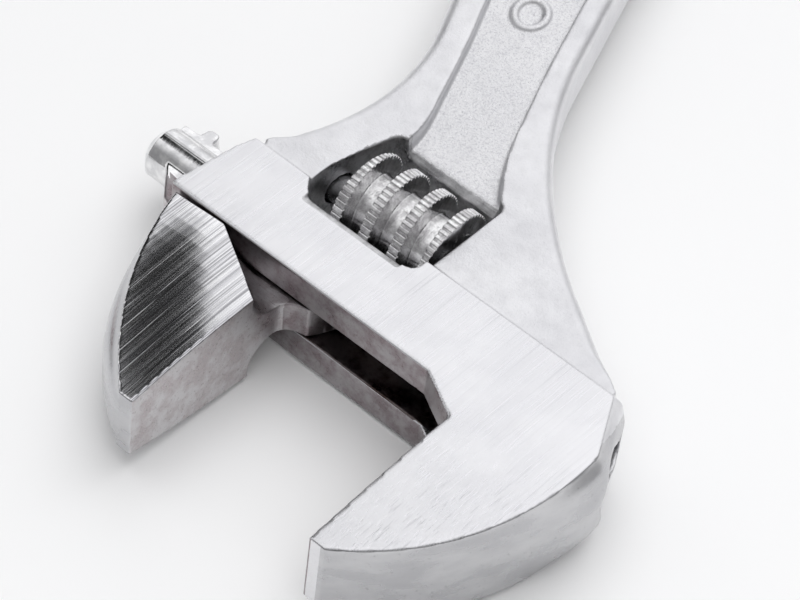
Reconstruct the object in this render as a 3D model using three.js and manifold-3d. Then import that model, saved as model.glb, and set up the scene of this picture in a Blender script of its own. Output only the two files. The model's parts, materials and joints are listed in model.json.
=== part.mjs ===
// Adjustable wrench, nominal 200 mm.  Millimetres, +Z up.
//
// The head is drawn in its own frame: x runs along the jaw slide (opening is +x), y runs towards the
// jaw tips, z is up and zero at mid-thickness.  x = 0 is the fixed jaw's gripping face and y = 0 is
// the front face of the channel.  The finished group is turned so that the handle lies along X.
import * as THREE from 'three';
import { mergeVertices } from 'three/addons/utils/BufferGeometryUtils.js';
import Module from 'manifold-3d';

const wasm = await Module();
wasm.setup();

// ---------------------------------------------------------------- driving dimensions
const gap = 0.3;                 // clearance between pieces that touch
const cutPast = 1.5;             // how far a cutting tool runs past the surface it opens

// head and jaws
const headThickness = 14;
const jawTipThickness = 10;
const jawDepth = 26.2;           // channel front to the jaw tips
const opening = 27.2;            // jaw opening in the rest position
const headLength = 46.8;         // fixed jaw's gripping face to the far end of the head
const groundFaceDepth = 12.6;    // channel front to the crease behind the ground face
const creaseRamp = 1.3;          // width of the sloped step down to the forged shoulder
const headEndSetback = 2.2;      // how far the head's end leans in at the crease
const headEndCorner = 0.7;       // share of the way to the crease where that lean steepens
const throatAlong = 6.1;         // throat chamfer, along the channel
const throatUp = 3.3;            // throat chamfer, along the gripping face
const fixedJawWidth = 16;        // gripping face to the back of the fixed jaw
const fixedJawBackRadius = 32;
const jawTipFlat = 1.9;
const backFlatStart = 4.6;       // the flat behind the fixed jaw starts this far behind the channel front
const backFlatLength = 10.5;
const backFlatLean = 29;         // degrees from the jaw direction
const backSwell = 2.2;           // how far that flat stands out at mid-thickness
const heelStep = { along: 2.2, down: 0.6 };  // from that flat's end to where the shoulder starts
const backSwellStart = 12;       // y on the fixed jaw's back where it starts to stand out

// channel, rod and rack
const slotWidth = 5.2;
const rodRadius = 3.4;
const rodSetback = 7.9;          // channel front to the rod's axis
const rodTail = 13.8;            // gripping face back to the rod's inner end
const rodReach = 29;             // gripping face on to the rod's outer end
const lastToothInset = 4.6;      // rod's outer end to the centre of its last rack tooth
const neckToe = 5.3;             // neck's reach beyond the gripping face, at the channel
const neckToeRise = 2.3;
const neckEndInset = 3;          // rod's outer end to the neck's end, at the rod
const rodEndChamfer = 1;

// movable jaw
const jawRootHeight = 6.4;       // where the full-thickness gripping face starts
const jawRootAlong = 10.5;       // run of the slanted root edge along the channel
const jawShoulder = 18.4;        // jaw's length along the channel, from the gripping face
const jawTipWidth = 2;
const reliefRadius = 3.6;        // hollow between the jaw and its neck
const jawOuterBulge = 2.4;       // rise of the jaw's curved outer side over its chord
const jawSwell = 1.8;            // how far that side stands out further at mid-thickness

// worm, pin and spring
const wormRadius = 7.3;
const wormLength = 14.6;
const wormEndClearance = 0.8;    // between the worm and the window's side next to the fixed jaw
const wormPitch = 4.5;
const threadDepth = 2.5;
const toothRootClearance = 0.8;  // thread depth left free below the rack teeth
const rackProud = 0.2;           // how far the rack's root line stands out from the rod's side
const crestWidth = 1.5;
const rootWidth = 2;
const threadHand = 1;            // 1 is a right-hand thread
const pinRadius = 2;
const pinThreadRadius = 3;
const pinThreadLength = 10;
const pinRecess = 4.2;           // depth of the screw end below the head's side, on its axis
const pinSlotDepth = 0.9;
const pinNoseLength = 4.2;       // pin held in the far side of the window
const springWire = 0.7;
const springTurns = 4;
const counterboreDepth = 4.6;

// worm window
const windowStart = 17.4;        // x of the window's side next to the fixed jaw
const windowNearClearance = 2.7; // the window's near edge to the worm, in the faces
const windowBevel = { across: 1.1, deep: 0.5 };  // sloped band along that edge
const webEdgeBevel = { across: 1, deep: 0.8 };   // sloped band where the web ends over the window
const windowLength = 19.3;       // across the window at its widest
const windowClearance = 1.1;     // behind the worm
const windowLean = 2.1;          // how far the window's far end leans in towards the handle
const windowCornerRadius = 1.6;
const windowCornerCut = { along: 2.4, down: 3.4 };

// handle: s runs along the handle from the jaw's origin, w runs across it
const handleAngle = 22.5;        // handle axis from the jaw direction, degrees
const handleAxisOffset = 14.4;   // w of the handle's centre line
const handleEnd = 180;           // s of the handle's far end
const shoulderEnd = 34;          // s where the shoulder starts to thin down to the handle
const neckStation = 59;          // s of the handle's narrowest place
const neckSkew = 1;              // that place is this much further along on the fixed jaw's side
const neckWidth = 18.4;
const endWidth = 27.4;
const shoulderThickness = 10.6;
const handleThickness = 8.6;
const shoulderArcRight = 67;     // concave sweep from the handle to the fixed jaw's side
const shoulderArcLeft = 36;      // concave sweep from the handle to the head's far end
const rightSweepDegrees = 35.5;
const leftSweepDegrees = 49;
const rimWidth = 3.9;
const webOffset = 0.5;           // the web sits this much nearer the fixed jaw's side
const webThickness = 5.2;
const webEndInset = 30;          // handle's end to the end of the recessed web
const webNearRight = 9.5;        // from the window's near corner to the web's full width
const webNearLeft = 20.5;        // from the narrowest place back to where the web turns to the window
const webHeadInset = 1.8;        // from the window's corner to the recess's side wall
const webCornerRadius = { near: 5, far: 6 };
const hangingHoleDiameter = 11.5;
const hangingHoleInset = 13.5;   // handle's end to the hole's centre
const cartoucheStation = 67.8;   // s of the raised oval ring on the web
const cartoucheLength = 6.2;
const cartoucheWidth = 5;
const cartoucheRing = 0.8;
const cartoucheHeight = 0.4;

// ---------------------------------------------------------------- derived sizes
const half = headThickness / 2;
const neckHalf = slotWidth / 2 - gap;
const boreRadius = rodRadius + gap;
const toothHeight = threadDepth - toothRootClearance;
const rodStart = opening - rodTail;
const rodEnd = opening + rodReach;
const rackRoot = rodRadius + rackProud;
const wormSetback = rodSetback + rackRoot + gap + wormRadius;  // channel front to the worm's axis
const wormStart = windowStart + wormEndClearance;
const windowNear = wormSetback - wormRadius - windowNearClearance;
const rackTip = rackRoot + toothHeight;
const coreRadius = wormRadius - threadDepth;
const windowFar = wormSetback + wormRadius + windowClearance;
const windowEnd = windowStart + windowLength;
const crease = -(groundFaceDepth + creaseRamp);
const pinBoreRadius = pinRadius + gap;
const counterboreRadius = pinBoreRadius + springWire + 1.5 * gap;
// where the straight side behind the fixed jaw runs into the concave sweep
const rightSweepFoot = {
  s: neckStation + neckSkew - shoulderArcRight * Math.sin(THREE.MathUtils.degToRad(rightSweepDegrees)),
  w: handleAxisOffset - neckWidth / 2
    - shoulderArcRight * (1 - Math.cos(THREE.MathUtils.degToRad(rightSweepDegrees))),
};

// ---------------------------------------------------------------- small helpers
const radians = THREE.MathUtils.degToRad;

function solid(geometry) {
  const bare = geometry.clone();
  bare.deleteAttribute('normal');
  bare.deleteAttribute('uv');
  const welded = mergeVertices(bare, 1e-4);
  return new wasm.Manifold(new wasm.Mesh({
    numProp: 3,
    vertProperties: new Float32Array(welded.attributes.position.array),
    triVerts: new Uint32Array(welded.index.array),
  }));
}

function piece(name, body, colour, roughness, metalness) {
  const mesh = body.getMesh();
  const geometry = new THREE.BufferGeometry();
  geometry.setAttribute('position', new THREE.BufferAttribute(new Float32Array(mesh.vertProperties), 3));
  geometry.setIndex(new THREE.BufferAttribute(new Uint32Array(mesh.triVerts), 1));
  const flat = geometry.toNonIndexed();
  flat.computeVertexNormals();
  const material = new THREE.MeshStandardMaterial({ color: colour, roughness, metalness });
  const result = new THREE.Mesh(flat, material);
  result.name = name;
  return result;
}

// A closed outline drawn in x and y, made a plate centred on z = 0.
function plate(shape, thickness, curveSegments = 12) {
  const geometry = new THREE.ExtrudeGeometry(shape, { depth: thickness, bevelEnabled: false, curveSegments });
  geometry.translate(0, 0, -thickness / 2);
  return geometry;
}

// An outline through the corners given, each rounded by its own radius (third value).
function roundedOutline(corners) {
  const shape = new THREE.Shape();
  corners.forEach(([x, y, radius = 0], index) => {
    const corner = new THREE.Vector2(x, y);
    const before = new THREE.Vector2(...corners.at(index - 1).slice(0, 2));
    const after = new THREE.Vector2(...corners[(index + 1) % corners.length].slice(0, 2));
    const enter = corner.clone().add(before.sub(corner).setLength(radius));
    const leave = corner.clone().add(after.sub(corner).setLength(radius));
    if (index === 0) shape.moveTo(enter.x, enter.y);
    else shape.lineTo(enter.x, enter.y);
    if (radius > 0) shape.quadraticCurveTo(corner.x, corner.y, leave.x, leave.y);
  });
  shape.closePath();
  return shape;
}

// A cylinder along x from one station to another, on the axis through (y, 0).
function rodAlongX(radius, from, to, y, segments = 48) {
  const geometry = new THREE.CylinderGeometry(radius, radius, to - from, segments);
  geometry.rotateZ(Math.PI / 2);
  geometry.translate((from + to) / 2, y, 0);
  return geometry;
}

// A solid through outlines of equally many points, one above the other: levels are [z, points].
function loft(levels) {
  const count = levels[0][1].length;
  const positions = levels.flatMap(([z, points]) => points.flatMap((point) => [point.x, point.y, z]));
  const indices = [];
  for (let level = 0; level < levels.length - 1; level += 1) {
    for (let i = 0; i < count; i += 1) {
      const here = level * count + i;
      const next = level * count + ((i + 1) % count);
      indices.push(here, next, next + count, here, next + count, here + count);
    }
  }
  const top = (levels.length - 1) * count;
  for (const [a, b, c] of THREE.ShapeUtils.triangulateShape(levels[0][1], [])) indices.push(a, c, b);
  for (const [a, b, c] of THREE.ShapeUtils.triangulateShape(levels.at(-1)[1], [])) {
    indices.push(top + a, top + b, top + c);
  }
  const geometry = new THREE.BufferGeometry();
  geometry.setAttribute('position', new THREE.Float32BufferAttribute(positions, 3));
  geometry.setIndex(indices);
  return geometry;
}

function block(x0, x1, y0, y1, z0, z1) {
  const geometry = new THREE.BoxGeometry(x1 - x0, y1 - y0, z1 - z0);
  geometry.translate((x0 + x1) / 2, (y0 + y1) / 2, (z0 + z1) / 2);
  return geometry;
}

// Handle coordinates (s along, w across) to the head frame.
const axis = new THREE.Vector2(Math.sin(radians(handleAngle)), -Math.cos(radians(handleAngle)));
const across = new THREE.Vector2(Math.cos(radians(handleAngle)), Math.sin(radians(handleAngle)));
function onHandle(s, w) {
  return new THREE.Vector2(axis.x * s + across.x * w, axis.y * s + across.y * w);
}

// Turns a geometry drawn in handle coordinates into the head frame.
function placeOnHandle(geometry) {
  return geometry.rotateZ(Math.atan2(axis.y, axis.x));
}

// ---------------------------------------------------------------- body
// Side view of the ground head and the jaws, in y and z: flat, then easing down to the thin tips.
function jawSideProfile() {
  const tip = jawTipThickness / 2;
  const shoulder = shoulderThickness / 2 - gap;
  const easeStart = jawDepth / 3;
  const outline = new THREE.Shape();
  outline.moveTo(crease, -shoulder);
  outline.lineTo(-groundFaceDepth, -half);
  outline.lineTo(0, -half);
  outline.quadraticCurveTo(easeStart, -half, jawDepth + cutPast, -tip);
  outline.lineTo(jawDepth + cutPast, tip);
  outline.quadraticCurveTo(easeStart, half, 0, half);
  outline.lineTo(-groundFaceDepth, half);
  outline.lineTo(crease, shoulder);
  outline.closePath();
  const reach = 2 * (headLength + fixedJawWidth + rodEnd);
  const geometry = plate(outline, reach);
  geometry.rotateX(Math.PI / 2);
  geometry.rotateZ(Math.PI / 2);
  return solid(geometry);
}

// The flat behind the fixed jaw at mid-thickness, as its two ends.
function backFlat() {
  const lean = radians(backFlatLean);
  const start = new THREE.Vector2(-fixedJawWidth - 0.8 * backSwell, -backFlatStart);
  const end = start.clone().add(
    new THREE.Vector2(Math.sin(lean), -Math.cos(lean)).multiplyScalar(backFlatLength));
  return { start, end };
}

// Outline of the ground head, with the fixed jaw's back standing out by swell.
function headOutline(swell) {
  const flat = backFlat();
  const points = [
    new THREE.Vector2(throatAlong, 0),
    new THREE.Vector2(0, throatUp),
    new THREE.Vector2(0, jawDepth),
  ];
  const steps = 36;
  for (let i = 0; i <= steps; i += 1) {
    const y = jawDepth - (jawDepth + backFlatStart) * i / steps;
    const arc = fixedJawBackRadius - fixedJawWidth - Math.sqrt(fixedJawBackRadius ** 2 - y ** 2);
    const share = THREE.MathUtils.smoothstep(-y, -backSwellStart, backFlatStart);
    points.push(new THREE.Vector2(Math.min(arc, -jawTipFlat) - share * swell, y));
  }
  const drawnIn = 0.9 * (backSwell - swell);
  points.push(
    new THREE.Vector2(flat.end.x + drawnIn, flat.end.y),
    new THREE.Vector2(headLength - headEndSetback, crease),
    new THREE.Vector2(headLength - headEndSetback / 2, headEndCorner * crease),
    new THREE.Vector2(headLength, 0),
  );
  return points;
}

// Half the thickness of a jaw at a given y.
function halfThickness(y) {
  const share = THREE.MathUtils.clamp(y / jawDepth, 0, 1);
  return half - (half - jawTipThickness / 2) * share;
}

// A plate of full thickness between ground faces, its outer side swelling out at mid-thickness.
function swollenPlate(outline, swell) {
  const faces = solid(loft([[-half, outline(0)], [half, outline(0)]])).intersect(jawSideProfile());
  const levels = [[-0.97, 0], [-0.75, 0.6], [-0.4, 1], [0.4, 1], [0.75, 0.6], [0.97, 0]];
  const geometry = loft(levels.map(([height, share]) => [height, outline(share * swell)]));
  const points = geometry.attributes.position;
  for (let i = 0; i < points.count; i += 1) {
    points.setZ(i, points.getZ(i) * halfThickness(points.getY(i)));
  }
  return faces.add(solid(geometry).intersect(jawSideProfile()));
}

function groundHead() {
  return swollenPlate(headOutline, backSwell);
}

function handleOutline() {
  const centre = handleAxisOffset;
  const neckHalfWidth = neckWidth / 2;
  const endRadius = endWidth / 2;
  const flat = backFlat();
  const shape = new THREE.Shape();
  // from the fixed jaw's side, along the sweep to the neck
  const sweepRight = radians(rightSweepDegrees);
  const heel = flat.end.clone().add(new THREE.Vector2(heelStep.along, -heelStep.down));
  shape.moveTo(heel.dot(axis), heel.dot(across));
  shape.lineTo(rightSweepFoot.s, rightSweepFoot.w);
  shape.absarc(neckStation + neckSkew, centre - neckHalfWidth - shoulderArcRight, shoulderArcRight,
    Math.PI / 2 + sweepRight, Math.PI / 2, true);
  // out to the rounded end and back
  shape.absarc(handleEnd - endRadius, centre, endRadius, -Math.PI / 2, Math.PI / 2, false);
  const sweepLeft = radians(leftSweepDegrees);
  shape.lineTo(neckStation - neckSkew, centre + neckHalfWidth);
  shape.absarc(neckStation - neckSkew, centre + neckHalfWidth + shoulderArcLeft, shoulderArcLeft,
    -Math.PI / 2, -Math.PI / 2 - sweepLeft, true);
  const headSide = new THREE.Vector2(headLength - headEndSetback, crease);
  shape.lineTo(headSide.dot(axis), headSide.dot(across));
  // inside the head, where the ground head covers it
  const inside = -groundFaceDepth / 2;
  const insideFar = new THREE.Vector2(headLength + inside, inside);
  const insideNear = new THREE.Vector2(flat.end.x + backSwell, inside);
  shape.lineTo(insideFar.dot(axis), insideFar.dot(across));
  shape.lineTo(insideNear.dot(axis), insideNear.dot(across));
  shape.closePath();
  return shape;
}

// Side view of the forging along the handle, in s and z.
function handleSideProfile() {
  const thick = shoulderThickness / 2;
  const thin = handleThickness / 2;
  const start = -headLength;
  const easeControl = (shoulderEnd + neckStation) / 2;
  const outline = new THREE.Shape();
  outline.moveTo(start, -thick);
  outline.lineTo(shoulderEnd, -thick);
  outline.quadraticCurveTo(easeControl, -thin, neckStation, -thin);
  outline.lineTo(handleEnd + cutPast, -thin);
  outline.lineTo(handleEnd + cutPast, thin);
  outline.lineTo(neckStation, thin);
  outline.quadraticCurveTo(easeControl, thin, shoulderEnd, thick);
  outline.lineTo(start, thick);
  outline.closePath();
  const geometry = plate(outline, 2 * handleEnd);
  geometry.rotateX(Math.PI / 2);
  return solid(placeOnHandle(geometry));
}

// A section drawn in y and z, made a bar along x.
function barAlongX(section, from, to) {
  const geometry = plate(section, to - from);
  geometry.rotateX(Math.PI / 2);
  geometry.rotateZ(Math.PI / 2);
  geometry.translate((from + to) / 2, 0, 0);
  return geometry;
}

// Cuts the corner between a face at height z and a wall at y (side is +1 for the upper face, and
// inward is +1 where the material lies towards -y).
function edgeBevel(y, z, bevel, inward, side, from, to) {
  const past = 1 + cutPast / bevel.deep;
  const section = new THREE.Shape();
  section.moveTo(y - inward * bevel.across * past, side * (z + cutPast));
  section.lineTo(y + inward * bevel.across * (past - 1), side * (z - bevel.deep * past));
  section.lineTo(y + inward * bevel.across * (past - 1), side * (z + cutPast));
  section.closePath();
  return solid(barAlongX(section, from, to));
}

// The window the worm sits in, cut right through.
function wormWindow() {
  const r = windowCornerRadius;
  const near = windowNear + windowBevel.across;
  const outline = roundedOutline([
    [windowStart, -near, r],
    [windowEnd - windowCornerCut.along, -near, r],
    [windowEnd, -near - windowCornerCut.down, r],
    [windowEnd, -wormSetback + pinBoreRadius, r],
    [windowEnd - windowLean, -windowFar, r],
    [windowStart, -windowFar, r],
  ]);
  return solid(plate(outline, headThickness + 2 * cutPast, 6));
}

function windowBevels(side) {
  const nearBand = edgeBevel(-windowNear - windowBevel.across, half, windowBevel, -1, side,
    windowStart + windowCornerRadius, windowEnd - windowCornerCut.along);
  const webBand = edgeBevel(-windowFar, webThickness / 2, webEdgeBevel, 1, side,
    windowStart + windowCornerRadius, windowEnd - windowLean - windowCornerRadius);
  return nearBand.add(webBand);
}

// The recess between the rims, cut from one face (side is +1 or -1).
function webRecess(side) {
  const centre = handleAxisOffset - webOffset;
  const nearHalf = neckWidth / 2 - rimWidth;
  const endHalf = nearHalf + (endWidth - neckWidth) / 2
    * (handleEnd - webEndInset - neckStation) / (handleEnd - endWidth / 2 - neckStation);
  const windowFoot = new THREE.Vector2(windowStart, -windowFar + windowCornerRadius);
  const windowHead = new THREE.Vector2(windowEnd - webHeadInset, -wormSetback + pinBoreRadius);
  const insideWindow = new THREE.Vector2((windowStart + windowEnd) / 2, -wormSetback);
  const webEnd = handleEnd - webEndInset;
  const outline = roundedOutline([
    [windowFoot.dot(axis), windowFoot.dot(across), 0],
    [windowFoot.dot(axis) + webNearRight, centre - nearHalf, webCornerRadius.near],
    [neckStation, centre - nearHalf, 0],
    [webEnd, centre - endHalf, webCornerRadius.far],
    [webEnd, centre + endHalf, webCornerRadius.far],
    [neckStation, centre + nearHalf, 0],
    [neckStation - webNearLeft, centre + nearHalf, webCornerRadius.far],
    [windowHead.dot(axis), windowHead.dot(across), 0],
    [insideWindow.dot(axis), insideWindow.dot(across), 0],
  ]);
  const depth = half;
  const geometry = plate(outline, depth, 8);
  geometry.translate(0, 0, side * (webThickness / 2 + depth / 2));
  return solid(placeOnHandle(geometry));
}

// An empty raised oval on the web.
function cartouche() {
  const ring = new THREE.Shape();
  ring.absellipse(cartoucheStation, handleAxisOffset - webOffset, cartoucheLength / 2, cartoucheWidth / 2,
    0, 2 * Math.PI);
  const inside = new THREE.Path();
  inside.absellipse(cartoucheStation, handleAxisOffset - webOffset, cartoucheLength / 2 - cartoucheRing,
    cartoucheWidth / 2 - cartoucheRing, 0, 2 * Math.PI);
  ring.holes.push(inside);
  const rootedDepth = 1;
  const geometry = plate(ring, rootedDepth + cartoucheHeight, 24);
  geometry.translate(0, 0, webThickness / 2 + (cartoucheHeight - rootedDepth) / 2);
  return solid(placeOnHandle(geometry));
}

// Slot for the neck, bore for the rod and the deeper cut that the rack teeth run in.
function channel() {
  const flat = backFlat();
  const slotStart = -(neckToe + 4 * gap);
  const slotBottom = -(rodSetback + rackTip + gap);
  const slot = solid(block(slotStart, headLength + cutPast, -rodSetback, cutPast,
    -slotWidth / 2, slotWidth / 2));
  const toePocket = solid(block(slotStart, gap, -rodSetback, neckToeRise + 2 * gap,
    -slotWidth / 2, slotWidth / 2));
  const throat = solid(block(0, throatAlong + cutPast, -rodSetback, throatUp + cutPast,
    -slotWidth / 2, slotWidth / 2));
  const bore = solid(rodAlongX(boreRadius, flat.start.x - cutPast, headLength + cutPast, -rodSetback));
  const rackCut = solid(block(flat.start.x - cutPast, headLength + cutPast, slotBottom, -rodSetback,
    -slotWidth / 2, slotWidth / 2));
  return slot.add(toePocket).add(throat).add(bore).add(rackCut);
}

// x where the head's side crosses the pin's axis, next to the fixed jaw.
function pinSide() {
  const start = backFlat().end;
  const foot = onHandle(rightSweepFoot.s, rightSweepFoot.w);
  const share = (-wormSetback - start.y) / (foot.y - start.y);
  return start.x + share * (foot.x - start.x);
}

// x of the window's slanted end wall at a given y.
function windowWall(y) {
  const top = -wormSetback + pinBoreRadius;
  return windowEnd - windowLean * Math.max(0, (top - y) / (top + windowFar));
}

const pinStart = pinSide() + pinRecess;
const pinShankStart = pinStart + pinThreadLength;

function body() {
  const forging = solid(placeOnHandle(plate(handleOutline(), shoulderThickness, 40)))
    .intersect(handleSideProfile());
  const hole = new THREE.CylinderGeometry(hangingHoleDiameter / 2, hangingHoleDiameter / 2,
    headThickness, 48);
  hole.rotateX(Math.PI / 2);
  const holeCentre = onHandle(handleEnd - hangingHoleInset, handleAxisOffset);
  hole.translate(holeCentre.x, holeCentre.y, 0);
  const shankBore = solid(rodAlongX(pinBoreRadius, pinShankStart - cutPast,
    windowEnd + pinNoseLength + gap, -wormSetback, 32));
  const threadBore = solid(rodAlongX(pinThreadRadius + gap, -fixedJawWidth,
    pinShankStart + gap, -wormSetback, 32));
  return forging
    .subtract(webRecess(1))
    .subtract(webRecess(-1))
    .add(cartouche())
    .add(groundHead())
    .subtract(wormWindow())
    .subtract(windowBevels(1))
    .subtract(windowBevels(-1))
    .subtract(channel())
    .subtract(solid(hole))
    .subtract(shankBore)
    .subtract(threadBore);
}

// ---------------------------------------------------------------- movable jaw
// Hollow under the jaw's slanted root, cut down to the neck on one side (side is +1 or -1).
function jawRelief(side) {
  const section = new THREE.Shape();
  section.moveTo(0, half + cutPast);
  section.lineTo(0, neckHalf + reliefRadius);
  section.absarc(reliefRadius, neckHalf + reliefRadius, reliefRadius, Math.PI, 1.5 * Math.PI, false);
  section.lineTo(jawRootAlong, neckHalf);
  section.lineTo(jawRootAlong, half + cutPast);
  section.closePath();
  const along = new THREE.Vector3(jawRootAlong, gap - jawRootHeight, 0).normalize();
  const up = new THREE.Vector3(0, 0, 1);
  const outward = new THREE.Vector3().crossVectors(along, up);
  const geometry = plate(section, 4 * jawRootAlong, 10);
  if (side < 0) geometry.rotateX(Math.PI);
  geometry.applyMatrix4(new THREE.Matrix4().makeBasis(outward, up, along.clone().negate()));
  geometry.translate(opening, jawRootHeight, 0);
  return solid(geometry);
}

// Outline of the movable jaw, with its curved outer side standing out by swell.
function movableJawOutline(swell) {
  const shoulder = new THREE.Vector2(opening + jawShoulder, gap);
  const tip = new THREE.Vector2(opening + jawTipWidth, jawDepth);
  const chord = tip.clone().sub(shoulder);
  const outward = new THREE.Vector2(chord.y, -chord.x).normalize();
  const points = [
    new THREE.Vector2(opening, jawDepth),
    new THREE.Vector2(opening, neckToeRise),
    new THREE.Vector2(opening + neckToeRise, gap),
  ];
  const steps = 32;
  for (let i = 0; i <= steps; i += 1) {
    const share = i / steps;
    const swellShare = Math.sqrt(Math.abs(Math.sin(Math.PI * share ** 1.5)));
    const rise = 4 * jawOuterBulge * share * (1 - share) + swell * swellShare;
    points.push(shoulder.clone().addScaledVector(chord, share).addScaledVector(outward, rise));
  }
  return points;
}

function jawPlate() {
  return swollenPlate(movableJawOutline, jawSwell);
}

const neckEnd = rodEnd - neckEndInset;

// The thin neck that joins the jaw to the rod through the slot.
function neck() {
  const toe = opening - neckToe;
  const shoulder = opening + jawShoulder;
  const outline = new THREE.Shape();
  outline.moveTo(opening, jawRootHeight);
  outline.lineTo(opening, neckToeRise);
  outline.quadraticCurveTo(opening - gap, -gap, toe, -gap);
  outline.lineTo(toe, -rodSetback);
  outline.lineTo(neckEnd, -rodSetback);
  outline.lineTo(neckEnd, -rodSetback + rodRadius / 2);
  outline.lineTo(shoulder + neckEndInset, -neckEndInset * gap);
  outline.lineTo(shoulder, gap);
  outline.lineTo(shoulder - neckEndInset, jawRootHeight);
  outline.closePath();
  return solid(plate(outline, 2 * neckHalf, 10));
}

const lastTooth = rodEnd - lastToothInset;
const rackEnd = rodEnd - rodEndChamfer;

// Rack behind the rod: a flat web with teeth that lean with the worm's thread.
function rack() {
  let teeth = solid(block(rodStart, rackEnd, -rodSetback - rackRoot, -rodSetback, -neckHalf, neckHalf));
  const flankClearance = 1.2 * gap;
  const rootHalf = (wormPitch - crestWidth) / 2 - flankClearance;
  const tipHalf = (wormPitch - rootWidth) / 2 - flankClearance;
  const sunk = rackRoot - toothHeight / 3;
  const tipRounding = toothHeight / 3;
  const profile = roundedOutline([
    [-rootHalf, -sunk, 0],
    [-tipHalf, -rackTip, tipRounding],
    [tipHalf, -rackTip, tipRounding],
    [rootHalf, -sunk, 0],
  ]);
  const lean = Math.atan(threadHand * wormPitch / (2 * Math.PI * wormRadius));
  for (let x = lastTooth; x > rodStart + rootHalf; x -= wormPitch) {
    const tooth = plate(profile, 2 * neckHalf, 4);
    tooth.rotateY(lean);
    tooth.translate(x, -rodSetback, 0);
    teeth = teeth.add(solid(tooth));
  }
  const limits = solid(block(rodStart, rackEnd, -rodSetback - rackTip, 0, -neckHalf, neckHalf));
  return teeth.intersect(limits);
}

// The round rod with its outer end chamfered.
function rod() {
  const outline = [
    new THREE.Vector2(0, 0),
    new THREE.Vector2(rodRadius, 0),
    new THREE.Vector2(rodRadius, rodEnd - rodStart - rodEndChamfer),
    new THREE.Vector2(rodRadius - rodEndChamfer, rodEnd - rodStart),
    new THREE.Vector2(0, rodEnd - rodStart),
  ];
  const geometry = new THREE.LatheGeometry(outline, 48);
  geometry.rotateZ(-Math.PI / 2);
  geometry.translate(rodStart, -rodSetback, 0);
  return solid(geometry);
}

function movableJaw() {
  return jawPlate()
    .subtract(jawRelief(1))
    .subtract(jawRelief(-1))
    .add(neck())
    .add(rod())
    .add(rack());
}

// ---------------------------------------------------------------- worm, pin and spring
const wormEnd = wormStart + wormLength;

// One helical ridge, long enough to run out past both ends of the worm.  A straight bar is drawn
// along the turn angle, then wrapped round the worm's axis.
function threadRidge() {
  const ridgeAtRack = lastTooth + wormPitch / 2;
  const turnsTo = (x) => threadHand * (x - ridgeAtRack) / wormPitch;
  const ends = [turnsTo(wormStart - wormPitch), turnsTo(wormEnd + wormPitch)].sort((a, b) => a - b);
  const sunk = coreRadius - threadDepth / 4;
  const section = new THREE.Shape();
  section.moveTo(-rootWidth / 2, sunk);
  section.lineTo(rootWidth / 2, sunk);
  section.lineTo(crestWidth / 2, wormRadius);
  section.lineTo(-crestWidth / 2, wormRadius);
  section.closePath();
  const stepsPerTurn = 40;
  const steps = Math.ceil((ends[1] - ends[0]) * stepsPerTurn);
  const geometry = new THREE.ExtrudeGeometry(section, { depth: 1, steps, bevelEnabled: false });
  const points = geometry.attributes.position;
  for (let i = 0; i < points.count; i += 1) {
    const turns = ends[0] + (ends[1] - ends[0]) * points.getZ(i);
    const angle = 2 * Math.PI * turns;
    const radius = points.getY(i);
    points.setXYZ(i, ridgeAtRack + points.getX(i) + threadHand * wormPitch * turns,
      -wormSetback + radius * Math.cos(angle), radius * Math.sin(angle));
  }
  return solid(geometry);
}

function worm() {
  const envelope = solid(rodAlongX(wormRadius + gap, wormStart, wormEnd, -wormSetback, 80));
  const core = solid(rodAlongX(coreRadius, wormStart, wormEnd, -wormSetback, 60));
  const bore = solid(rodAlongX(pinBoreRadius, wormStart - cutPast, wormEnd + cutPast, -wormSetback, 32));
  const counterbore = solid(rodAlongX(counterboreRadius, wormEnd - counterboreDepth,
    wormEnd + cutPast, -wormSetback, 40));
  return threadRidge().intersect(envelope).add(core).subtract(bore).subtract(counterbore);
}

function wormPin() {
  const threadRun = solid(rodAlongX(pinThreadRadius, pinStart, pinShankStart, -wormSetback, 32));
  const shank = solid(rodAlongX(pinRadius, pinShankStart - 1, windowEnd + pinNoseLength, -wormSetback, 32));
  const slot = solid(block(pinStart - cutPast, pinStart + pinSlotDepth, -wormSetback - pinRadius * 2,
    -wormSetback + pinRadius * 2, -0.5, 0.5));
  return threadRun.add(shank).subtract(slot);
}

class SpringLine extends THREE.Curve {
  constructor(from, to, radius) {
    super();
    Object.assign(this, { from, to, radius });
  }

  getPoint(t, target = new THREE.Vector3()) {
    const angle = 2 * Math.PI * springTurns * t;
    return target.set(this.from + (this.to - this.from) * t,
      -wormSetback + this.radius * Math.cos(angle), this.radius * Math.sin(angle));
  }
}

function wormSpring() {
  const wire = springWire / 2;
  const coilRadius = pinBoreRadius + wire;
  const from = wormEnd - counterboreDepth + gap + wire;
  const to = windowWall(-wormSetback - coilRadius - wire) - gap - wire;
  const section = new THREE.Shape();
  section.absarc(0, 0, wire, 0, 2 * Math.PI, false);
  return solid(new THREE.ExtrudeGeometry(section, {
    steps: springTurns * 20,
    curveSegments: 8,
    bevelEnabled: false,
    extrudePath: new SpringLine(from, to, coilRadius),
  }));
}

// ---------------------------------------------------------------- assembly
const head = new THREE.Group();
head.rotation.z = -Math.atan2(axis.y, axis.x);
head.add(
  piece('body', body(), 0xd6d6da, 0.38, 0.9),
  piece('movable_jaw', movableJaw(), 0xb9b9be, 0.3, 0.95),
  piece('worm', worm(), 0xc4c4c6, 0.25, 1),
  piece('worm_pin', wormPin(), 0x8c8c90, 0.35, 1),
  piece('worm_spring', wormSpring(), 0x77787c, 0.3, 1),
);

const wrench = new THREE.Group();
wrench.add(head);
wrench.updateMatrixWorld(true);
const extent = new THREE.Box3().setFromObject(wrench, true);
head.position.set(-(extent.min.x + extent.max.x) / 2, -(extent.min.y + extent.max.y) / 2, -extent.min.z);

export default wrench;
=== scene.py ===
import bpy
import json
import math
import numpy as np
from mathutils import Matrix, Vector


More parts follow.
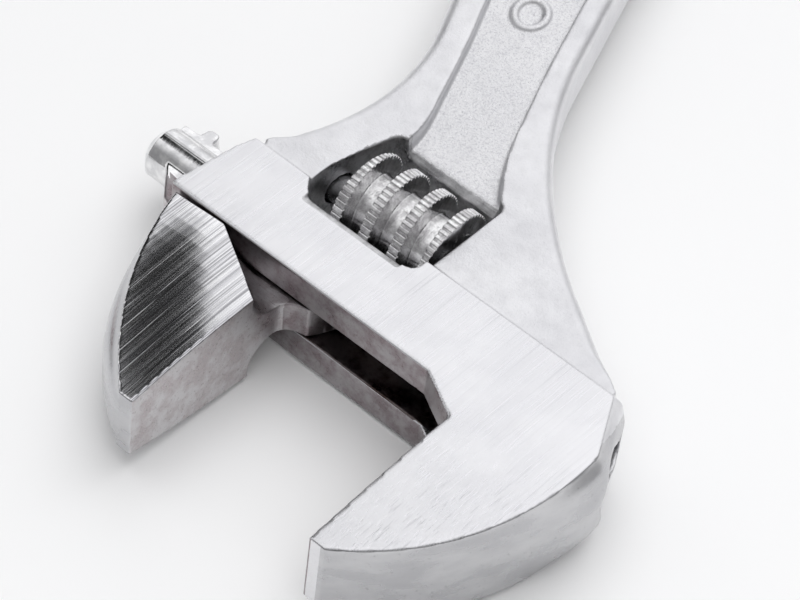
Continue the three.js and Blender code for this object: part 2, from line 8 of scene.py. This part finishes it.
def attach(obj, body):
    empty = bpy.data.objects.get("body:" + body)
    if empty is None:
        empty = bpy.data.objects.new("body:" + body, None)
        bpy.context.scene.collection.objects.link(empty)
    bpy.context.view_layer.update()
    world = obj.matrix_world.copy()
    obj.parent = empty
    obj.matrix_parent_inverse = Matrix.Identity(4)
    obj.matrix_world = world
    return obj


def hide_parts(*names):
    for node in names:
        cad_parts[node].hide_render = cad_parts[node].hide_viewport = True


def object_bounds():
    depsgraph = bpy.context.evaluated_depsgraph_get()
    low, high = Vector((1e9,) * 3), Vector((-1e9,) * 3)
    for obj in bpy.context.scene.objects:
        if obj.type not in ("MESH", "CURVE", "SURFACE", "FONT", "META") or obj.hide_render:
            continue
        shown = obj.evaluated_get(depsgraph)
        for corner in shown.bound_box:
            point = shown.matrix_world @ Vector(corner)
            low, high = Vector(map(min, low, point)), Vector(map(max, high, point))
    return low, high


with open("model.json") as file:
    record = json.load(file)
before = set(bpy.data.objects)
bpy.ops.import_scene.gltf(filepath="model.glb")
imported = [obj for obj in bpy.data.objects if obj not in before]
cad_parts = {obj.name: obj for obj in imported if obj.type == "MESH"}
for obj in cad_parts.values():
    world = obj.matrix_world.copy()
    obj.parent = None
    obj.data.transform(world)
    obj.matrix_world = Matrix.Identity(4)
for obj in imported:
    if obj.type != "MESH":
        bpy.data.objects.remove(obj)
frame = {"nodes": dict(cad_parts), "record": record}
cad_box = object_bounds()

# ---------------------------------------------------------------- the head's own frame
# Millimetres: x along the jaw slide, y towards the jaw tips, z up from mid-thickness.
MM = 0.001
mounts = {mount["name"]: mount for mount in frame["record"]["mounts"]}
slide = Vector(mounts["fixed_jaw_face"]["axis"]).normalized()
tips = Vector((0, 0, 1)).cross(slide)
corner = Vector(mounts["fixed_jaw_face"]["pos_m"]) - tips * 15 * MM
HEAD = Matrix((
    (slide.x * MM, tips.x * MM, 0, corner.x),
    (slide.y * MM, tips.y * MM, 0, corner.y),
    (0, 0, MM, corner.z),
    (0, 0, 0, 1),
))
TURN = math.atan2(slide.y, slide.x)
ALONG = (math.sin(math.radians(22.5)), -math.cos(math.radians(22.5)))   # along the handle
ACROSS = (math.cos(math.radians(22.5)), math.sin(math.radians(22.5)))


def in_row(x, y, z):
    return HEAD @ Vector((x, y, z))


# ---------------------------------------------------------------- camera
camera_data = bpy.data.cameras.new("camera")
camera_data.lens = 160.82
camera_data.clip_start = 0.01
camera_data.clip_end = 10
camera = bpy.data.objects.new("camera", camera_data)
bpy.context.scene.collection.objects.link(camera)
right = Vector((-0.74105, -0.66548, 0.08934)).normalized()
ahead = Vector((0.39772, -0.54224, -0.74013)).normalized()
above = right.cross(ahead)
turn = HEAD.to_3x3() * 1000
camera.matrix_world = Matrix.Translation(in_row(-148.81, 218.15, 312.56)) @ (
    turn @ Matrix((right, above, -ahead)).transposed()).to_4x4()
bpy.context.scene.camera = camera


# ---------------------------------------------------------------- mesh tools (arrays in the head's frame, mm)
def copy_in_head_frame(name):
    mesh = frame["nodes"][name].data.copy()
    mesh.transform(HEAD.inverted())
    mesh.materials.clear()
    piece = bpy.data.objects.new(name + "_finish", mesh)
    bpy.context.scene.collection.objects.link(piece)
    return piece


def apply_modifiers(piece):
    graph = bpy.context.evaluated_depsgraph_get()
    mesh = bpy.data.meshes.new_from_object(piece.evaluated_get(graph))
    piece.modifiers.clear()
    piece.data = mesh
    return piece


def remesh(piece, voxel, passes):
    weld = piece.modifiers.new("weld", "WELD")
    weld.merge_threshold = 0.001
    voxels = piece.modifiers.new("voxels", "REMESH")
    voxels.mode = "VOXEL"
    voxels.voxel_size = voxel
    soften = piece.modifiers.new("soften", "SMOOTH")
    soften.factor = 0.5
    soften.iterations = passes
    return apply_modifiers(piece)


def get_points(piece):
    flat = np.empty(len(piece.data.vertices) * 3, dtype=np.float32)
    piece.data.vertices.foreach_get("co", flat)
    return flat.reshape(-1, 3).astype(np.float64)


def set_points(piece, points):
    piece.data.vertices.foreach_set("co", points.astype(np.float32).ravel())
    piece.data.update()


def smooth_where(piece, mask, passes):
    group = piece.vertex_groups.new(name="smooth")
    for level in (0.25, 0.5, 0.75, 1.0):
        chosen = np.nonzero((mask > level - 0.25) & (mask <= level))[0]
        if len(chosen):
            group.add(chosen.tolist(), level, "REPLACE")
    soften = piece.modifiers.new("soften", "SMOOTH")
    soften.factor = 0.7
    soften.iterations = passes
    soften.vertex_group = "smooth"
    apply_modifiers(piece)
    piece.vertex_groups.clear()


def thin_out(piece, ratio):
    fewer = piece.modifiers.new("fewer", "DECIMATE")
    fewer.ratio = ratio
    return apply_modifiers(piece)


def step(low, high, value):
    share = np.clip((value - low) / (high - low), 0, 1)
    return share * share * (3 - 2 * share)


def finish_piece(piece, name, body):
    piece.data.transform(HEAD)
    piece.data.polygons.foreach_set("use_smooth", np.ones(len(piece.data.polygons), dtype=bool))
    piece.data.update()
    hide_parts(name)
    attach(piece, body)
    return piece


def face_data(piece):
    mesh = piece.data
    centres = np.empty(len(mesh.polygons) * 3, dtype=np.float32)
    normals = np.empty(len(mesh.polygons) * 3, dtype=np.float32)
    mesh.polygons.foreach_get("center", centres)
    mesh.polygons.foreach_get("normal", normals)
    return centres.reshape(-1, 3), normals.reshape(-1, 3)


# ---------------------------------------------------------------- materials
# Every pattern is laid out along the head's axes, in millimetres, from the centre of the whole part.
class Nodes:
    def __init__(self, name):
        self.material = bpy.data.materials.new(name)
        self.material.use_nodes = True
        self.tree = self.material.node_tree
        self.shader = self.tree.nodes["Principled BSDF"]
        where = self.tree.nodes.new("ShaderNodeTexCoord")
        place = self.tree.nodes.new("ShaderNodeMapping")
        place.inputs["Rotation"].default_value = (0, 0, -TURN)
        place.inputs["Scale"].default_value = (1000, 1000, 1000)
        self.link(where.outputs["Object"], place.inputs["Vector"])
        self.mm = place.outputs["Vector"]

    def link(self, start, end):
        self.tree.links.new(start, end)

    def stretched(self, scale):
        node = self.tree.nodes.new("ShaderNodeMapping")
        node.inputs["Scale"].default_value = scale
        self.link(self.mm, node.inputs["Vector"])
        return node.outputs["Vector"]

    def noise(self, scale, detail=3, roughness=0.55):
        node = self.tree.nodes.new("ShaderNodeTexNoise")
        node.inputs["Scale"].default_value = 1
        node.inputs["Detail"].default_value = detail
        node.inputs["Roughness"].default_value = roughness
        if not isinstance(scale, tuple):
            scale = (scale, scale, scale)
        self.link(self.stretched(scale), node.inputs["Vector"])
        return node.outputs["Fac"]

    def remap(self, value, low, high, start, end):
        node = self.tree.nodes.new("ShaderNodeMapRange")
        node.interpolation_type = "SMOOTHSTEP"
        for key, number in (("From Min", low), ("From Max", high), ("To Min", start), ("To Max", end)):
            node.inputs[key].default_value = number
        self.link(value, node.inputs["Value"])
        return node.outputs["Result"]

    def math(self, kind, first, second):
        node = self.tree.nodes.new("ShaderNodeMath")
        node.operation = kind
        for socket, value in ((node.inputs[0], first), (node.inputs[1], second)):
            if isinstance(value, (int, float)):
                socket.default_value = value
            else:
                self.link(value, socket)
        return node.outputs[0]

    def mix(self, factor, first, second):
        node = self.tree.nodes.new("ShaderNodeMix")
        node.data_type = "RGBA"
        self.link(factor, node.inputs[0])
        for socket, value in ((node.inputs[6], first), (node.inputs[7], second)):
            if isinstance(value, tuple):
                socket.default_value = (*value, 1)
            else:
                self.link(value, socket)
        return node.outputs[2]

    def axis(self, name):
        node = self.tree.nodes.new("ShaderNodeSeparateXYZ")
        self.link(self.mm, node.inputs[0])
        return node.outputs[name]

    def bump(self, height, distance, strength):
        node = self.tree.nodes.new("ShaderNodeBump")
        node.inputs["Strength"].default_value = strength
        node.inputs["Distance"].default_value = distance * MM
        self.link(height, node.inputs["Height"])
        return node.outputs["Normal"]

    def finish(self, colour, roughness, normal):
        self.shader.inputs["Metallic"].default_value = 1
        self.link(colour, self.shader.inputs["Base Color"])
        self.link(roughness, self.shader.inputs["Roughness"])
        self.link(normal, self.shader.inputs["Normal"])
        return self.material


def ground_face():
    n = Nodes("ground_face")
    fine = n.noise((9, 0.10, 9), 2)
    coarse = n.noise((2.4, 0.045, 2.4), 3, 0.7)
    scratches_and_painted_reflection = n.remap(n.noise((4.0, 0.05, 4.0), 2), 0.58, 0.70, 0, 1)
    # the scratches come and go in patches
    patch = n.remap(n.noise(0.055, 1), 0.42, 0.62, 0.25, 1)
    grain = n.noise(3.6, 3, 0.7)
    cloud = n.noise(0.12, 3)
    colour = n.mix(n.remap(cloud, 0.3, 0.7, 0, 1), (0.77, 0.77, 0.79), (0.84, 0.84, 0.855))
    colour = n.mix(n.math("MULTIPLY", n.math("MULTIPLY", scratches_and_painted_reflection, patch), 0.32), colour, (0.42, 0.42, 0.44))
    rough = n.math("ADD", n.remap(fine, 0.3, 0.7, 0.22, 0.32), n.math("MULTIPLY", cloud, 0.08))
    height = n.math("ADD", n.math("MULTIPLY", fine, 0.3), n.math("MULTIPLY", coarse, 0.5))
    height = n.math("ADD", height, n.math("MULTIPLY", grain, 0.5))
    height = n.math("SUBTRACT", height, n.math("MULTIPLY", n.math("MULTIPLY", scratches_and_painted_reflection, patch), 0.3))
    return n.finish(colour, rough, n.bump(height, 0.022, 0.8))


def forged():
    n = Nodes("forged")
    grain = n.noise(3.2, 3, 0.7)
    wave = n.noise(0.5, 3, 0.6)
    cloud = n.noise(0.09, 3)
    # specks thicken towards the handle's far end
    away = n.remap(n.axis("Y"), -60, -16, 0.9, 0.35)
    specks = n.remap(n.noise(2.6, 3, 0.65), 0.52, 0.66, 0, 1)
    colour = n.mix(n.remap(cloud, 0.3, 0.7, 0, 1), (0.74, 0.74, 0.76), (0.82, 0.82, 0.835))
    colour = n.mix(n.math("MULTIPLY", n.math("MULTIPLY", specks, away), 0.22), colour, (0.45, 0.45, 0.48))
    rough = n.remap(wave, 0.3, 0.7, 0.31, 0.42)
    height = n.math("ADD", n.math("MULTIPLY", grain, 0.8), wave)
    return n.finish(colour, rough, n.bump(height, 0.075, 0.8))


def blasted():
    n = Nodes("blasted")
    grain = n.noise(4.6, 3, 0.75)
    specks = n.remap(n.noise(3.6, 3, 0.7), 0.46, 0.66, 0, 1)
    cloud = n.noise(0.15, 3)
    # the grain fades towards the handle's far end
    near = n.remap(n.axis("Y"), -42, -27, 0.12, 1)
    base = n.mix(n.remap(cloud, 0.3, 0.7, 0, 1), (0.86, 0.86, 0.875), (0.93, 0.93, 0.94))
    colour = n.mix(n.math("MULTIPLY", n.math("MULTIPLY", specks, near), 0.42), base, (0.42, 0.42, 0.46))
    rough = n.remap(grain, 0.3, 0.7, 0.26, 0.44)
    height = n.math("MULTIPLY", grain, near)
    return n.finish(colour, rough, n.bump(height, 0.09, 0.9))


def wall():
    n = Nodes("side_wall")
    long = n.noise((0.12, 0.12, 0.3), 3)
    chips = n.remap(n.noise(1.4, 4, 0.7), 0.60, 0.72, 0, 1)
    grain = n.noise(2.6, 3, 0.7)
    colour = n.mix(n.remap(long, 0.3, 0.7, 0, 1), (0.50, 0.50, 0.515), (0.62, 0.62, 0.63))
    colour = n.mix(n.math("MULTIPLY", chips, 0.35), colour, (0.22, 0.22, 0.23))
    rough = n.remap(long, 0.3, 0.7, 0.24, 0.34)
    height = n.math("ADD", n.noise((0.5, 0.5, 0.3), 2), n.math("MULTIPLY", grain, 0.12))
    return n.finish(colour, rough, n.bump(height, 0.04, 0.5))


def machined(name="machined_wall", dark=(0.26, 0.22, 0.23), light=(0.42, 0.40, 0.41)):
    n = Nodes(name)
    lines = n.noise((0.3, 5, 0.6), 3)
    cloud = n.noise(0.26, 5, 0.7)
    specks = n.remap(n.noise(2.8, 3, 0.7), 0.58, 0.68, 0, 1)
    colour = n.mix(n.remap(cloud, 0.38, 0.62, 0, 1), dark, light)
    colour = n.mix(n.math("MULTIPLY", specks, 0.4), colour, (0.12, 0.09, 0.09))
    rough = n.remap(cloud, 0.3, 0.7, 0.24, 0.42)
    height = n.math("ADD", lines, n.math("MULTIPLY", n.noise(2.2, 3, 0.7), 0.5))
    return n.finish(colour, rough, n.bump(height, 0.05, 0.7))


def jaw_ground_painted_reflection():
    n = Nodes("jaw_ground_painted_reflection")
    fine = n.noise((8, 0.02, 0.5), 2)
    coarse = n.noise((2.8, 0.012, 0.2), 3, 0.7)
    # near-black streaks along the grind: painted reflection of the dark surroundings in the movable jaw's
    # ground top, colour only (in ground_face the same mask marks real scratches)
    scratches_and_painted_reflection = n.remap(n.noise((3.6, 0.02, 0.3), 2), 0.54, 0.66, 0, 1)
    bright = n.remap(n.noise((4.4, 0.025, 0.3), 2), 0.60, 0.70, 0, 1)
    colour = n.mix(n.remap(coarse, 0.4, 0.6, 0, 1), (0.62, 0.62, 0.64), (0.88, 0.88, 0.89))
    colour = n.mix(n.math("MULTIPLY", scratches_and_painted_reflection, 0.55), colour, (0.12, 0.12, 0.13))
    rough = n.remap(fine, 0.3, 0.7, 0.10, 0.18)
    rough = n.math("ADD", rough, n.math("MULTIPLY", bright, 0.22))
    height = n.math("ADD", n.math("MULTIPLY", fine, 0.2), n.math("MULTIPLY", coarse, 0.8))
    return n.finish(colour, rough, n.bump(height, 0.012, 0.6))


def worm_steel():
    n = Nodes("worm_bright")
    rings = n.noise((4, 0.4, 0.4), 3)
    cloud = n.noise(0.7, 4, 0.7)
    nicks = n.remap(n.noise(2.2, 3, 0.7), 0.56, 0.68, 0, 1)
    colour = n.mix(n.remap(cloud, 0.35, 0.65, 0, 1), (0.62, 0.61, 0.62), (0.90, 0.90, 0.90))
    colour = n.mix(n.math("MULTIPLY", nicks, 0.3), colour, (0.15, 0.14, 0.14))
    rough = n.remap(rings, 0.3, 0.7, 0.12, 0.26)
    height = n.math("ADD", rings, n.math("MULTIPLY", n.noise(1.8, 3, 0.7), 0.4))
    return n.finish(colour, rough, n.bump(height, 0.02, 0.7))


def rod_steel():
    n = Nodes("rod_bright")
    rings = n.noise((5, 0.3, 0.3), 2)
    cloud = n.noise(0.6, 3)
    colour = n.mix(n.remap(cloud, 0.35, 0.65, 0, 1), (0.66, 0.66, 0.67), (0.90, 0.90, 0.90))
    rough = n.remap(rings, 0.3, 0.7, 0.08, 0.17)
    return n.finish(colour, rough, n.bump(rings, 0.012, 0.5))


def dark_steel(name, low, high):
    n = Nodes(name)
    cloud = n.noise(0.9, 3)
    colour = n.mix(n.remap(cloud, 0.3, 0.7, 0, 1), (low, low, low * 1.03), (high, high, high * 1.02))
    rough = n.remap(cloud, 0.3, 0.7, 0.22, 0.38)
    return n.finish(colour, rough, n.bump(n.noise((4, 1, 1), 2), 0.02, 0.4))


# ---------------------------------------------------------------- shared shapes of the head
HALF = 7.0                        # half the head's thickness
TIP_HALF = 5.0                    # half the jaws' thickness at the tips
JAW_DEPTH = 26.2
CREASE = -13.9                    # y of the crease behind the ground face
FIXED_JAW_WIDTH = 16
FIXED_JAW_BACK_RADIUS = 32.0
OPENING = 27.2                    # x of the movable jaw's gripping face
TOE_LENGTH = 5.3                  # the neck's reach beyond that face
TOE_RISE = 2.3
TOE_DROP = 7.5                    # how far the toe's top falls on its way to the end
JAW_SIDE_FOOT = np.array((45.6, 0.3))      # ends of the movable jaw's curved outer side
JAW_SIDE_TIP = np.array((29.2, 26.2))
JAW_SIDE_BULGE = 9.6              # four times its rise over the chord
JAW_TOP_FALL = 0.5                # how far the ground top falls towards that side
ROD_Y = -7.9
ROD_RADIUS = 3.4
WORM_Y = -19.1
WORM_RADIUS = 7.3
THREAD_DEPTH = 2.5
NOTCHES = 52                      # round each crest of the worm
NOTCH_DEPTH = 0.42
SLOT_HALF = 2.6

# the forging's outline in handle coordinates: s along the handle, w across it
HANDLE_CENTRE = 14.4
NECK_HALF = 9.2
NECK_RIGHT = 60                   # s of the narrowest place, on the fixed jaw's side
NECK_LEFT = 58
ARC_RIGHT = 67                    # radius of the concave sweep on the fixed jaw's side
ARC_RIGHT_SWEEP = math.radians(35.5)
ARC_LEFT = 36
HEEL = (9.2, -15.3)
END_HALF = 13.7
END_CENTRE = 180 - 13.7
SHOULDER_END = 34                 # s where the shoulder starts to thin
THINNING = 25                     # how long that takes
HANDLE_HALF = 4.3                 # half the handle's thickness
FORGED_ROUND = 1.5                # radius of the forging's outer edges


def half_thickness(y):
    return HALF - (HALF - TIP_HALF) * np.clip(y / JAW_DEPTH, 0, 1)


def fixed_jaw_rim(y):
    return FIXED_JAW_WIDTH - np.sqrt(np.maximum(FIXED_JAW_BACK_RADIUS ** 2 - y ** 2, 1))


def handle_edge(s, w):
    """Distance inside the forging's outline, and the direction inwards, in handle coordinates."""
    right, left = HANDLE_CENTRE - NECK_HALF, HANDLE_CENTRE + NECK_HALF
    gaps, directions = [], []

    def arc(cs, cw, radius, sign, where):
        ds, dw = s - cs, w - cw
        length = np.hypot(ds, dw)
        gaps.append(np.where(where, sign * (length - radius), 99))
        directions.append((sign * ds / length, sign * dw / length))

    def line(a, b, where):
        along = np.array(b, float) - a
        along /= np.hypot(*along)
        inward = np.array((-along[1], along[0]))
        gaps.append(np.where(where, (s - a[0]) * inward[0] + (w - a[1]) * inward[1], 99))
        directions.append((np.full_like(s, inward[0]), np.full_like(s, inward[1])))

    low = w < HANDLE_CENTRE
    foot = (
        NECK_RIGHT - ARC_RIGHT * math.sin(ARC_RIGHT_SWEEP),
        right - ARC_RIGHT * (1 - math.cos(ARC_RIGHT_SWEEP)),
    )
    end_right, end_left = (END_CENTRE, HANDLE_CENTRE - END_HALF), (END_CENTRE, HANDLE_CENTRE + END_HALF)
    arc(NECK_RIGHT, right - ARC_RIGHT, ARC_RIGHT, 1, low & (s > foot[0]) & (s <= NECK_RIGHT))
    line(HEEL, foot, low & (s <= foot[0]))
    line((NECK_RIGHT, right), end_right, low & (s > NECK_RIGHT) & (s < END_CENTRE))
    line(end_left, (NECK_LEFT, left), ~low & (s > NECK_LEFT) & (s < END_CENTRE))
    arc(NECK_LEFT, left + ARC_LEFT, ARC_LEFT, 1, ~low & (s <= NECK_LEFT))
    arc(END_CENTRE, HANDLE_CENTRE, END_HALF, -1, s >= END_CENTRE)
    gaps = np.array(gaps)
    best = gaps.argmin(axis=0)
    pick = np.arange(len(s))
    inward_s = np.array([d[0] for d in directions])[best, pick]
    inward_w = np.array([d[1] for d in directions])[best, pick]
    return gaps[best, pick], inward_s, inward_w


def to_handle(points):
    s = points[:, 0] * ALONG[0] + points[:, 1] * ALONG[1]
    w = points[:, 0] * ACROSS[0] + points[:, 1] * ACROSS[1]
    return s, w


# ---------------------------------------------------------------- body
def round_forging(points):
    """Rounds the forging's long outer edges, as a die leaves them."""
    s, w = to_handle(points)
    gap, inward_s, inward_w = handle_edge(s, w)
    ease = np.clip((s - SHOULDER_END) / THINNING, 0, 1)
    thick = HANDLE_HALF + (1 - ease) ** 2
    radius = 0.05 + FORGED_ROUND * step(CREASE - 0.6, CREASE - 4.5, points[:, 1])
    over = radius - gap
    rise = radius - (thick - np.abs(points[:, 2]))
    length = np.hypot(over, rise)
    chosen = (over > 0) & (rise > 0) & (length > radius) & (gap < 5) & (points[:, 1] < CREASE - 0.3)
    shrink = np.where(chosen, radius / np.maximum(length, 1e-6), 1)
    shift = over * (1 - shrink)
    points[:, 0] += np.where(chosen, shift * (inward_s * ALONG[0] + inward_w * ACROSS[0]), 0)
    points[:, 1] += np.where(chosen, shift * (inward_s * ALONG[1] + inward_w * ACROSS[1]), 0)
    new_z = np.sign(points[:, 2]) * (thick - radius + rise * shrink)
    points[:, 2] = np.where(chosen, new_z, points[:, 2])
    return points


def make_body():
    piece = remesh(copy_in_head_frame("body"), 0.24, 3)
    points = get_points(piece)
    swollen = (
        (points[:, 0] < fixed_jaw_rim(points[:, 1]) - 0.03)
        & (points[:, 1] > CREASE - 1)
        & (points[:, 1] < 25)
    )
    height = np.abs(points[:, 2]) / half_thickness(points[:, 1])
    smooth_where(piece, np.where(swollen, step(0.98, 0.9, height), 0), 60)
    points = round_forging(get_points(piece))
    set_points(piece, points)
    thin_out(piece, 0.45)
    window_wall = machined("window_wall", (0.46, 0.46, 0.47), (0.80, 0.80, 0.81))
    # near-black walls deep in the slot: painted shade for the shadow inside the recess, a darker copy of the
    # machined wall
    slot_wall_painted_shade = machined("slot_wall_painted_shade", (0.07, 0.045, 0.04), (0.22, 0.19, 0.19))
    FORGED, GROUND, BLASTED, SIDE, CHANNEL, WINDOW, SHADED_SLOT = range(7)
    for material in (forged(), ground_face(), blasted(), wall(), machined(), window_wall, slot_wall_painted_shade):
        piece.data.materials.append(material)
    centres, normals = face_data(piece)
    x, y, z = centres.T
    level = np.abs(z)
    flat = np.abs(normals[:, 2]) > 0.8
    index = np.full(len(x), FORGED, dtype=np.int32)
    s = to_handle(centres)[0]
    index[flat & (level < 3.3) & (s > 24)] = BLASTED
    index[flat & (y > CREASE + 1.2)] = GROUND
    index[~flat & (y > CREASE) & (x < fixed_jaw_rim(y) + 0.6)] = SIDE
    index[~flat & (np.abs(normals[:, 2]) < 0.5) & (y > -10) & (x > -0.4)] = CHANNEL
    # faces inside the slot take the painted-shade material
    index[(level < 3.2) & (y > -12.9) & (x > -6) & (x < 60) & (y < -0.1)] = SHADED_SLOT
    index[(np.abs(normals[:, 2]) < 0.97) & (x > 16.6) & (x < 37.4) & (y < -8.9) & (y > -28.4)] = WINDOW
    piece.data.polygons.foreach_set("material_index", index)
    return finish_piece(piece, "body", "handle")


# ---------------------------------------------------------------- movable jaw
def make_movable_jaw():
    piece = remesh(copy_in_head_frame("movable_jaw"), 0.16, 3)
    points = get_points(piece)
    chord = JAW_SIDE_TIP - JAW_SIDE_FOOT
    outward = np.array((chord[1], -chord[0])) / np.hypot(*chord)
    share = ((points[:, :2] - JAW_SIDE_FOOT) @ chord) / (chord @ chord)
    rise = (points[:, :2] - JAW_SIDE_FOOT) @ outward
    bulge = JAW_SIDE_BULGE * share * (1 - share)
    beyond = rise - bulge
    height = np.abs(points[:, 2]) / half_thickness(points[:, 1])
    swollen = (beyond > 0.03) & (share > -0.02) & (points[:, 1] > 0.2)
    smooth_where(piece, np.where(swollen, step(0.99, 0.9, height), 0), 60)
    points = get_points(piece)
    # the ground faces fall away a little towards the outer side
    inside = -(points[:, :2] - JAW_SIDE_FOOT) @ outward + bulge
    fall = JAW_TOP_FALL * step(11, 0, inside) ** 1.5
    upper = step(0.55, 0.9, np.abs(points[:, 2]) / half_thickness(points[:, 1])) * (points[:, 1] > 0.1)
    points[:, 2] -= np.sign(points[:, 2]) * fall * upper
    # the neck's toe runs out in a curve instead of ending square
    toe = np.clip((OPENING - points[:, 0]) / TOE_LENGTH, 0, 1)
    ceiling = TOE_RISE - TOE_DROP * toe ** 2
    on_toe = (points[:, 0] < OPENING - 0.05) & (points[:, 1] > -6) & (np.abs(points[:, 2]) < SLOT_HALF)
    points[:, 1] = np.where(on_toe, np.minimum(points[:, 1], ceiling), points[:, 1])
    # the rod is made truly round again
    rod_radius = np.hypot(points[:, 1] - ROD_Y, points[:, 2])
    on_rod = (np.abs(rod_radius - ROD_RADIUS) < 0.05) & (points[:, 1] < -4.5)
    scale = np.where(on_rod, ROD_RADIUS / np.maximum(rod_radius, 0.1), 1)
    points[:, 1] = ROD_Y + (points[:, 1] - ROD_Y) * scale
    points[:, 2] *= scale
    set_points(piece, points)
    thin_out(piece, 0.5)
    grip = machined("jaw_grip", (0.50, 0.46, 0.47), (0.66, 0.65, 0.66))
    GROUND, SIDE, GRIP, ROD, NECK = range(5)
    # the movable jaw's ground top carries painted reflection streaks in its colour
    for material in (jaw_ground_painted_reflection(), wall(), grip, rod_steel(), machined("neck_wall")):
        piece.data.materials.append(material)
    centres, normals = face_data(piece)
    x, y, z = centres.T
    flat = np.abs(normals[:, 2]) > 0.7
    index = np.full(len(x), GRIP, dtype=np.int32)
    index[~flat & (normals[:, 0] > 0.2) & (y > 0.2)] = SIDE
    index[~flat & (normals[:, 1] > 0.6) & (y > 24)] = SIDE
    index[flat & (np.abs(z) > 4.4) & (y > 0.1)] = GROUND
    index[(x < 26.8) & (y < 5)] = NECK
    index[flat & (y < 0.3)] = NECK
    index[y < -3.8] = ROD
    piece.data.polygons.foreach_set("material_index", index)
    return finish_piece(piece, "movable_jaw", "jaw")


# ---------------------------------------------------------------- worm
def make_worm():
    piece = remesh(copy_in_head_frame("worm"), 0.1, 2)
    points = get_points(piece)
    y, z = points[:, 1] - WORM_Y, points[:, 2]
    radius = np.hypot(y, z)
    angle = np.arctan2(z, y)
    core = WORM_RADIUS - THREAD_DEPTH
    new = np.where(np.abs(radius - core) < 0.06, core, radius)
    new = np.where(radius > WORM_RADIUS - 0.1, WORM_RADIUS, new)
    notch = np.abs(((angle / (2 * math.pi) * NOTCHES) % 1) - 0.5) * 2
    groove = NOTCH_DEPTH * np.clip(1 - notch / 0.45, 0, 1)
    new = np.minimum(new, np.where(radius > WORM_RADIUS - 0.8, WORM_RADIUS - groove, new))
    scale = new / np.maximum(radius, 0.1)
    points[:, 1] = WORM_Y + y * scale
    points[:, 2] = z * scale
    set_points(piece, points)
    thin_out(piece, 0.6)
    piece.data.materials.append(worm_steel())
    return finish_piece(piece, "worm", "worm")


def make_small(name, material, voxel):
    piece = remesh(copy_in_head_frame(name), voxel, 2)
    thin_out(piece, 0.6)
    piece.data.materials.append(material)
    return finish_piece(piece, name, "handle")


make_body()
make_movable_jaw()
make_worm()
make_small("worm_pin", dark_steel("pin_metal", 0.4, 0.55), 0.15)
make_small("worm_spring", dark_steel("spring_metal", 0.35, 0.5), 0.1)

# ---------------------------------------------------------------- floor and light
FLOOR_BELOW = 0.0002              # metres under the part


def flat_sheet(name, width, depth, grey, roughness):
    """A flat rectangle that belongs to the studio and not to the part."""
    half_w, half_d = width / 2, depth / 2
    mesh = bpy.data.meshes.new(name)
    mesh.from_pydata(
        [(-half_w, -half_d, 0), (half_w, -half_d, 0), (half_w, half_d, 0), (-half_w, half_d, 0)],
        [], [(0, 1, 2, 3)])
    sheet = bpy.data.objects.new(name, mesh)
    paint = bpy.data.materials.new(name)
    paint.use_nodes = True
    paint.node_tree.nodes["Principled BSDF"].inputs["Base Color"].default_value = (grey, grey, grey, 1)
    paint.node_tree.nodes["Principled BSDF"].inputs["Roughness"].default_value = roughness
    mesh.materials.append(paint)
    bpy.context.scene.collection.objects.link(sheet)
    return sheet


def aim(thing, direction, distance):
    """Puts a thing this far from the head in a direction of the head's frame, facing the head."""
    towards = (turn @ Vector(direction)).normalized()
    thing.location = in_row(14, -8, 0) + towards * distance
    thing.rotation_mode = "QUATERNION"
    thing.rotation_quaternion = (-towards).to_track_quat("-Z", "Y")


flat_sheet("floor", 6, 6, 0.94, 0.9).location.z = cad_box[0].z - FLOOR_BELOW

# The dome is brightest where the flat faces mirror it towards the camera, and falls off around that.
KEY = (turn @ Vector((0.36, -0.50, 0.79))).normalized()
world = bpy.data.worlds.new("studio")
bpy.context.scene.world = world
world.use_nodes = True
dome = world.node_tree
sky = dome.nodes.new("ShaderNodeTexCoord")
toward = dome.nodes.new("ShaderNodeVectorMath")
toward.operation = "DOT_PRODUCT"
toward.inputs[1].default_value = KEY
dome.links.new(sky.outputs["Generated"], toward.inputs[0])
falloff = dome.nodes.new("ShaderNodeMapRange")
falloff.interpolation_type = "SMOOTHSTEP"
for key, number in (("From Min", 0.35), ("From Max", 0.98), ("To Min", 0.34), ("To Max", 1.12)):
    falloff.inputs[key].default_value = number
dome.links.new(toward.outputs["Value"], falloff.inputs["Value"])
dome.nodes["Background"].inputs["Color"].default_value = (0.985, 0.985, 1, 1)
dome.links.new(falloff.outputs["Result"], dome.nodes["Background"].inputs["Strength"])


def softbox(name, direction, distance, size, power):
    """A square light that the metal doesn't mirror."""
    light = bpy.data.lights.new(name, "AREA")
    light.shape = "SQUARE"
    light.size = size
    light.energy = power
    lamp = bpy.data.objects.new(name, light)
    aim(lamp, direction, distance)
    lamp.visible_glossy = False
    bpy.context.scene.collection.objects.link(lamp)


def card(name, direction, distance, width, depth):
    """A black card that the metal mirrors, out of the camera's sight and casting no shadow."""
    board = flat_sheet(name, width, depth, 0.01, 1)
    aim(board, direction, distance)
    board.visible_camera = False
    board.visible_shadow = False


# Two soft lights for the floor alone, then black cards: one for the movable jaw's ground top and one
# for the dark bands on the rod.
softbox("over", (0.1, -0.2, 1.0), 1.0, 1.2, 4.7)
softbox("front", (-0.6, 0.6, 0.8), 1.0, 1.0, 2.2)
card("dark_card", (0.80, -0.26, 0.60), 0.55, 0.22, 0.5)
card("band_card", (-0.1, 0.93, 0.42), 0.5, 0.6, 0.16)

bpy.context.scene.view_settings.view_transform = "Standard"
